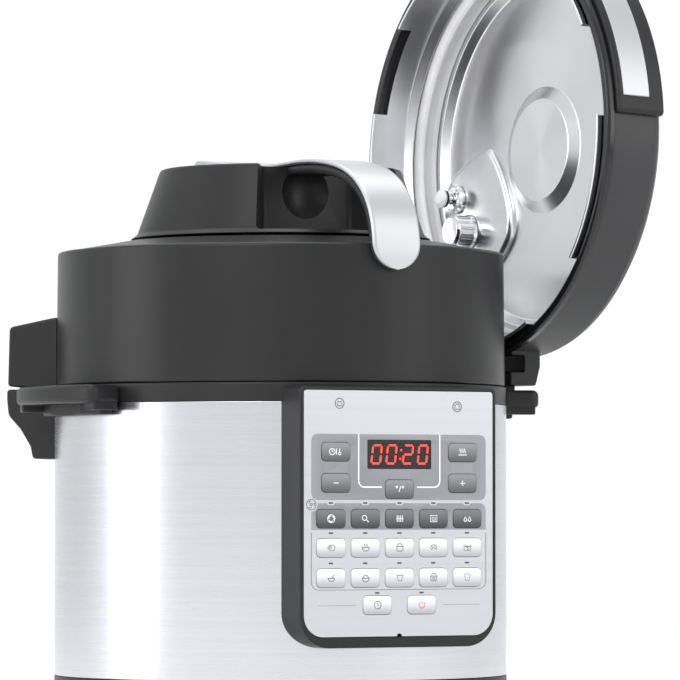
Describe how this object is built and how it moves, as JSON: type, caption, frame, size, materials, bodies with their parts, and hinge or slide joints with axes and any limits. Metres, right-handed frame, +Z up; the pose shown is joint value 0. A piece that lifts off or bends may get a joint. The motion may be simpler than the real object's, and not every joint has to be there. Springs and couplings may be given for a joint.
{
  "type": "electric pressure cooker",
  "caption": "Round electric pressure cooker with a control panel, an air-fryer lid in place and its pressure lid parked upright in the side handle.",
  "frame": {"origin": "centre of the base pan's flat underside, on the cooker's axis", "axes": "+Z up along the cooker's axis, -Y towards the control panel, +X towards the handle that holds the parked lid"},
  "size_m": [0.4194, 0.2977, 0.518],
  "materials": {
    "dark_plastic": "satin",
    "rubber": "matt",
    "brushed_steel": "brushed",
    "polished_steel": "polished",
    "fascia": "satin",
    "display": "gloss",
    "key_grey": "satin",
    "key_light": "satin",
    "aluminium": "cast",
    "silver_paint": "satin",
    "coil": "oxidised",
    "silicone": "translucent white"
  },
  "bodies": {
    "cooker": {"base_pan": "dark_plastic", "foot_1": "rubber", "foot_2": "rubber", "foot_3": "rubber", "foot_4": "rubber", "steel_housing": "brushed_steel", "top_collar": "dark_plastic", "right_handle": "dark_plastic", "left_handle": "dark_plastic", "panel_bezel": "dark_plastic", "panel_fascia": "fascia", "display_module": "display", "inner_housing": "brushed_steel", "heating_plate": "aluminium", "power_inlet": "dark_plastic", "dock_socket": "dark_plastic"},
    "sensor": {"temperature_sensor": "polished_steel"},
    "pot": {"inner_pot": "brushed_steel"},
    "fryer_lid": {"fryer_drum": "dark_plastic", "fryer_tower": "dark_plastic", "fryer_handle_strap": "silver_paint", "fryer_handle_liner": "dark_plastic", "fan_motor": "aluminium", "chamber_liner": "polished_steel", "heating_coil": "coil", "coil_guard": "polished_steel", "dock_plug": "dark_plastic"},
    "fan": {"air_fan": "polished_steel"},
    "pressure_lid": {"pressure_cover": "dark_plastic", "pressure_inner_lid": "polished_steel", "sealing_ring": "silicone", "pressure_handle": "dark_plastic", "pressure_handle_inlay": "silver_paint", "steam_filter": "polished_steel", "float_collar": "polished_steel"},
    "float": {"float_pin": "polished_steel", "float_seal": "silicone"},
    "knob": {"release_knob": "dark_plastic"},
    "key_upper_left_body": {"key_upper_left": "key_grey"},
    "key_upper_right_body": {"key_upper_right": "key_grey"},
    "key_minus_body": {"key_minus": "key_grey"},
    "key_plus_body": {"key_plus": "key_grey"},
    "key_centre_body": {"key_centre": "key_grey"},
    "key_a1_body": {"key_a1": "key_grey"},
    "key_a2_body": {"key_a2": "key_grey"},
    "key_a3_body": {"key_a3": "key_grey"},
    "key_a4_body": {"key_a4": "key_grey"},
    "key_a5_body": {"key_a5": "key_grey"},
    "key_b1_body": {"key_b1": "key_light"},
    "key_b2_body": {"key_b2": "key_light"},
    "key_b3_body": {"key_b3": "key_light"},
    "key_b4_body": {"key_b4": "key_light"},
    "key_b5_body": {"key_b5": "key_light"},
    "key_c1_body": {"key_c1": "key_light"},
    "key_c2_body": {"key_c2": "key_light"},
    "key_c3_body": {"key_c3": "key_light"},
    "key_c4_body": {"key_c4": "key_light"},
    "key_c5_body": {"key_c5": "key_light"},
    "key_cancel_body": {"key_cancel": "key_light"},
    "key_start_body": {"key_start": "key_light"}
  },
  "joints": [
    {"name": "fryer_lid_lift", "type": "slide", "parent": "cooker", "child": "fryer_lid", "axis": [0, 0, 1], "range_m": [0, 0.33]},
    {"name": "pot_lift", "type": "slide", "parent": "cooker", "child": "pot", "axis": [0, 0, 1], "range_m": [0, 0.165]},
    {"name": "pressure_lid_lift", "type": "slide", "parent": "cooker", "child": "pressure_lid", "axis": [0, 0, 1], "range_m": [0, 0.18]},
    {"name": "fan_spin", "type": "hinge", "parent": "fryer_lid", "child": "fan", "pos_m": [0, 0, 0.272], "axis": [0, 0, 1], "continuous": true},
    {"name": "float_rise", "type": "slide", "parent": "pressure_lid", "child": "float", "axis": [0.9984, 0.0436, -0.0349], "range_m": [0, 0.004]},
    {"name": "release_knob_turn", "type": "hinge", "parent": "pressure_lid", "child": "knob", "pos_m": [0.21405, 0.08387, 0.31503], "axis": [0.9984, 0.0436, -0.0349], "range_deg": [-40, 0]},
    {"name": "sensor_press", "type": "slide", "parent": "cooker", "child": "sensor", "axis": [0, 0, -1], "range_m": [0, 0.002], "stiffness_N_per_m": 1500},
    {"name": "key_upper_left_press", "type": "slide", "parent": "cooker", "child": "key_upper_left_body", "axis": [0, 1, 0], "range_m": [0, 0.0004], "stiffness_N_per_m": 900},
    {"name": "key_upper_right_press", "type": "slide", "parent": "cooker", "child": "key_upper_right_body", "axis": [0, 1, 0], "range_m": [0, 0.0004], "stiffness_N_per_m": 900},
    {"name": "key_minus_press", "type": "slide", "parent": "cooker", "child": "key_minus_body", "axis": [0, 1, 0], "range_m": [0, 0.0004], "stiffness_N_per_m": 900},
    {"name": "key_plus_press", "type": "slide", "parent": "cooker", "child": "key_plus_body", "axis": [0, 1, 0], "range_m": [0, 0.0004], "stiffness_N_per_m": 900},
    {"name": "key_centre_press", "type": "slide", "parent": "cooker", "child": "key_centre_body", "axis": [0, 1, 0], "range_m": [0, 0.0004], "stiffness_N_per_m": 900},
    {"name": "key_a1_press", "type": "slide", "parent": "cooker", "child": "key_a1_body", "axis": [0, 1, 0], "range_m": [0, 0.0004], "stiffness_N_per_m": 900},
    {"name": "key_a2_press", "type": "slide", "parent": "cooker", "child": "key_a2_body", "axis": [0, 1, 0], "range_m": [0, 0.0004], "stiffness_N_per_m": 900},
    {"name": "key_a3_press", "type": "slide", "parent": "cooker", "child": "key_a3_body", "axis": [0, 1, 0], "range_m": [0, 0.0004], "stiffness_N_per_m": 900},
    {"name": "key_a4_press", "type": "slide", "parent": "cooker", "child": "key_a4_body", "axis": [0, 1, 0], "range_m": [0, 0.0004], "stiffness_N_per_m": 900},
    {"name": "key_a5_press", "type": "slide", "parent": "cooker", "child": "key_a5_body", "axis": [0, 1, 0], "range_m": [0, 0.0004], "stiffness_N_per_m": 900},
    {"name": "key_b1_press", "type": "slide", "parent": "cooker", "child": "key_b1_body", "axis": [0, 1, 0], "range_m": [0, 0.0004], "stiffness_N_per_m": 900},
    {"name": "key_b2_press", "type": "slide", "parent": "cooker", "child": "key_b2_body", "axis": [0, 1, 0], "range_m": [0, 0.0004], "stiffness_N_per_m": 900},
    {"name": "key_b3_press", "type": "slide", "parent": "cooker", "child": "key_b3_body", "axis": [0, 1, 0], "range_m": [0, 0.0004], "stiffness_N_per_m": 900},
    {"name": "key_b4_press", "type": "slide", "parent": "cooker", "child": "key_b4_body", "axis": [0, 1, 0], "range_m": [0, 0.0004], "stiffness_N_per_m": 900},
    {"name": "key_b5_press", "type": "slide", "parent": "cooker", "child": "key_b5_body", "axis": [0, 1, 0], "range_m": [0, 0.0004], "stiffness_N_per_m": 900},
    {"name": "key_c1_press", "type": "slide", "parent": "cooker", "child": "key_c1_body", "axis": [0, 1, 0], "range_m": [0, 0.0004], "stiffness_N_per_m": 900},
    {"name": "key_c2_press", "type": "slide", "parent": "cooker", "child": "key_c2_body", "axis": [0, 1, 0], "range_m": [0, 0.0004], "stiffness_N_per_m": 900},
    {"name": "key_c3_press", "type": "slide", "parent": "cooker", "child": "key_c3_body", "axis": [0, 1, 0], "range_m": [0, 0.0004], "stiffness_N_per_m": 900},
    {"name": "key_c4_press", "type": "slide", "parent": "cooker", "child": "key_c4_body", "axis": [0, 1, 0], "range_m": [0, 0.0004], "stiffness_N_per_m": 900},
    {"name": "key_c5_press", "type": "slide", "parent": "cooker", "child": "key_c5_body", "axis": [0, 1, 0], "range_m": [0, 0.0004], "stiffness_N_per_m": 900},
    {"name": "key_cancel_press", "type": "slide", "parent": "cooker", "child": "key_cancel_body", "axis": [0, 1, 0], "range_m": [0, 0.0004], "stiffness_N_per_m": 900},
    {"name": "key_start_press", "type": "slide", "parent": "cooker", "child": "key_start_body", "axis": [0, 1, 0], "range_m": [0, 0.0004], "stiffness_N_per_m": 900}
  ],
  "couplings": [
    {"joint": "pot_lift", "follows": "fryer_lid_lift", "ratio": 0.5}
  ]
}
